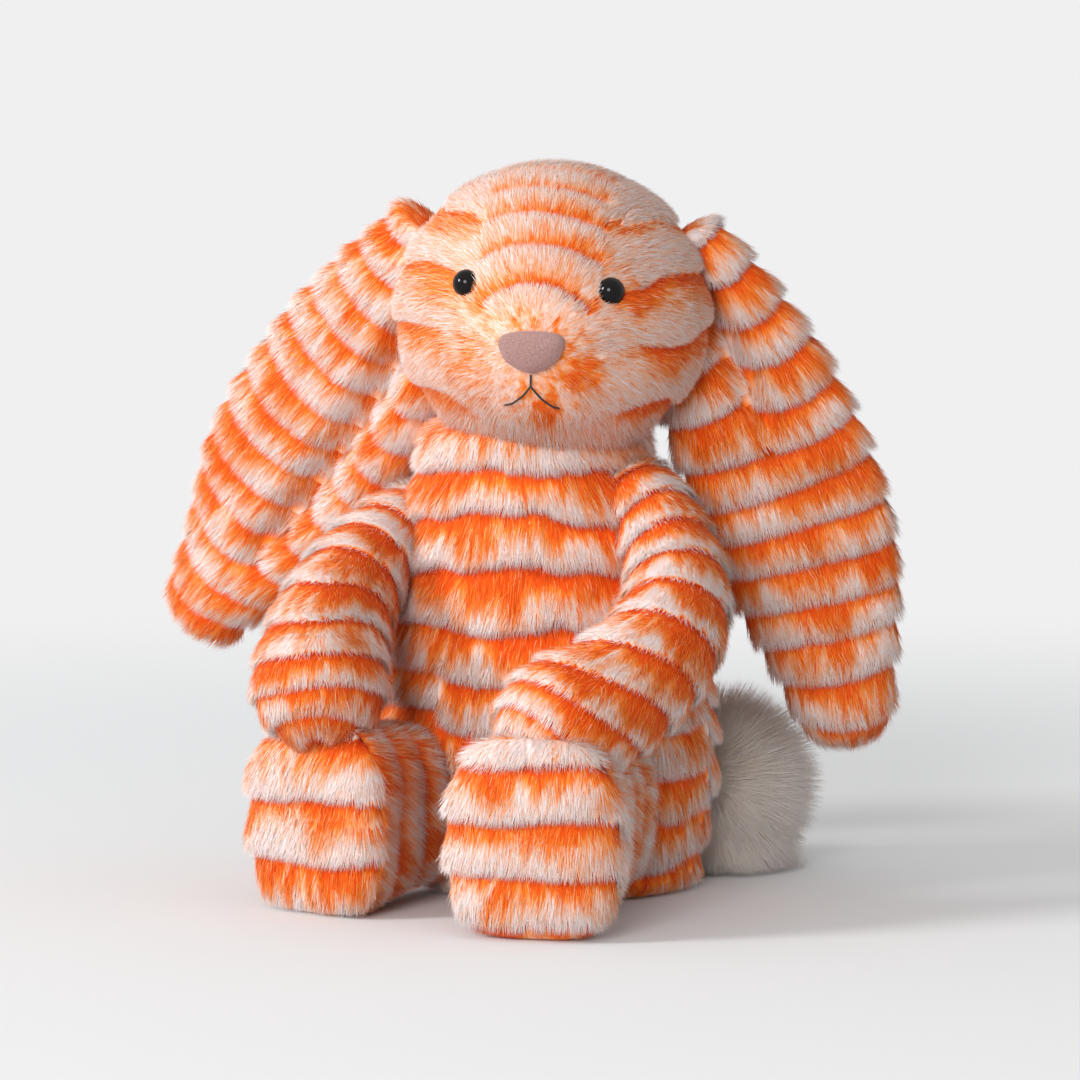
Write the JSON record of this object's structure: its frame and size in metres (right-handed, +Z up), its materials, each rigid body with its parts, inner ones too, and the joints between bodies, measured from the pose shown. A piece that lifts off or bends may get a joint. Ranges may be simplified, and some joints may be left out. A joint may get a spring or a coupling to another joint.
{
  "type": "plush rabbit",
  "caption": "Seated plush rabbit with long hanging ears, striped long-pile cloth, sewn limbs that turn at their seams, safety eyes and a weighted seat.",
  "frame": {"origin": "centre of the flat seat, on the ground", "axes": "-Y is the way the rabbit's body faces, +X its own left, +Z up"},
  "size_m": [0.2529, 0.1952, 0.2339],
  "materials": {
    "striped_plush": "long pile, orange with pale pink tips",
    "pale_plush": "long pile, mostly pale",
    "tail_plush": "long cream pile",
    "fibrefill": "loose polyester fibre",
    "pouch_cloth": "plain woven",
    "pellets": "small smooth beads",
    "nose_suede": "short brushed pile",
    "mouth_thread": "twisted thread",
    "eye_plastic": "polished",
    "washer_plastic": "moulded"
  },
  "bodies": {
    "torso": {"body_front_panel": "striped_plush", "body_back_panel": "striped_plush", "base_panel": "pale_plush", "body_stuffing": "fibrefill", "bean_pouch": "pouch_cloth", "pellet_fill": "pellets"},
    "tail": {"tail_cover": "tail_plush", "tail_stuffing": "fibrefill"},
    "head": {"head_gusset": "striped_plush", "head_left_panel": "striped_plush", "head_right_panel": "striped_plush", "head_stuffing": "fibrefill", "nose_patch": "nose_suede", "mouth_thread": "mouth_thread", "left_eye": "eye_plastic", "left_eye_washer": "washer_plastic", "right_eye": "eye_plastic", "right_eye_washer": "washer_plastic"},
    "left_ear": {"left_ear_front_panel": "striped_plush", "left_ear_back_panel": "striped_plush"},
    "right_ear": {"right_ear_front_panel": "striped_plush", "right_ear_back_panel": "striped_plush"},
    "left_arm": {"left_arm_outer_panel": "striped_plush", "left_arm_inner_panel": "striped_plush", "left_arm_stuffing": "fibrefill"},
    "left_leg": {"left_leg_outer_panel": "striped_plush", "left_leg_inner_panel": "striped_plush", "left_leg_sole": "pale_plush", "left_leg_stuffing": "fibrefill"},
    "right_arm": {"right_arm_outer_panel": "striped_plush", "right_arm_inner_panel": "striped_plush", "right_arm_stuffing": "fibrefill"},
    "right_leg": {"right_leg_outer_panel": "striped_plush", "right_leg_inner_panel": "striped_plush", "right_leg_sole": "pale_plush", "right_leg_stuffing": "fibrefill"}
  },
  "joints": [
    {"name": "neck_turn", "type": "hinge", "parent": "torso", "child": "head", "pos_m": [-0.007, -0.002, 0.158], "axis": [0, 0, 1], "range_deg": [-12, 8], "stiffness_Nm_per_rad": 0.05},
    {"name": "tail_wag", "type": "hinge", "parent": "torso", "child": "tail", "pos_m": [0.02992, 0.0397, 0.029], "axis": [0, 0, 1], "range_deg": [-15, 15], "stiffness_Nm_per_rad": 0.01},
    {"name": "left_ear_lift", "type": "hinge", "parent": "head", "child": "left_ear", "pos_m": [0.03636, 0.01115, 0.20355], "axis": [0.2574, -0.9606, -0.1045], "range_deg": [0, 60]},
    {"name": "right_ear_lift", "type": "hinge", "parent": "head", "child": "right_ear", "pos_m": [-0.03439, -0.00453, 0.20735], "axis": [0.2574, 0.9606, 0.1045], "range_deg": [0, 60]},
    {"name": "left_arm_swing", "type": "hinge", "parent": "torso", "child": "left_arm", "pos_m": [0.03417, -0.012, 0.126], "axis": [-1, 0, 0], "range_deg": [0, 60]},
    {"name": "right_arm_swing", "type": "hinge", "parent": "torso", "child": "right_arm", "pos_m": [-0.04776, -0.012, 0.116], "axis": [-1, 0, 0], "range_deg": [0, 60]},
    {"name": "left_leg_spread", "type": "hinge", "parent": "torso", "child": "left_leg", "pos_m": [0.024, -0.026, 0.0304], "axis": [0, 0, 1], "range_deg": [0, 18]},
    {"name": "right_leg_spread", "type": "hinge", "parent": "torso", "child": "right_leg", "pos_m": [-0.03, -0.026, 0.0304], "axis": [0, 0, -1], "range_deg": [0, 18]}
  ]
}
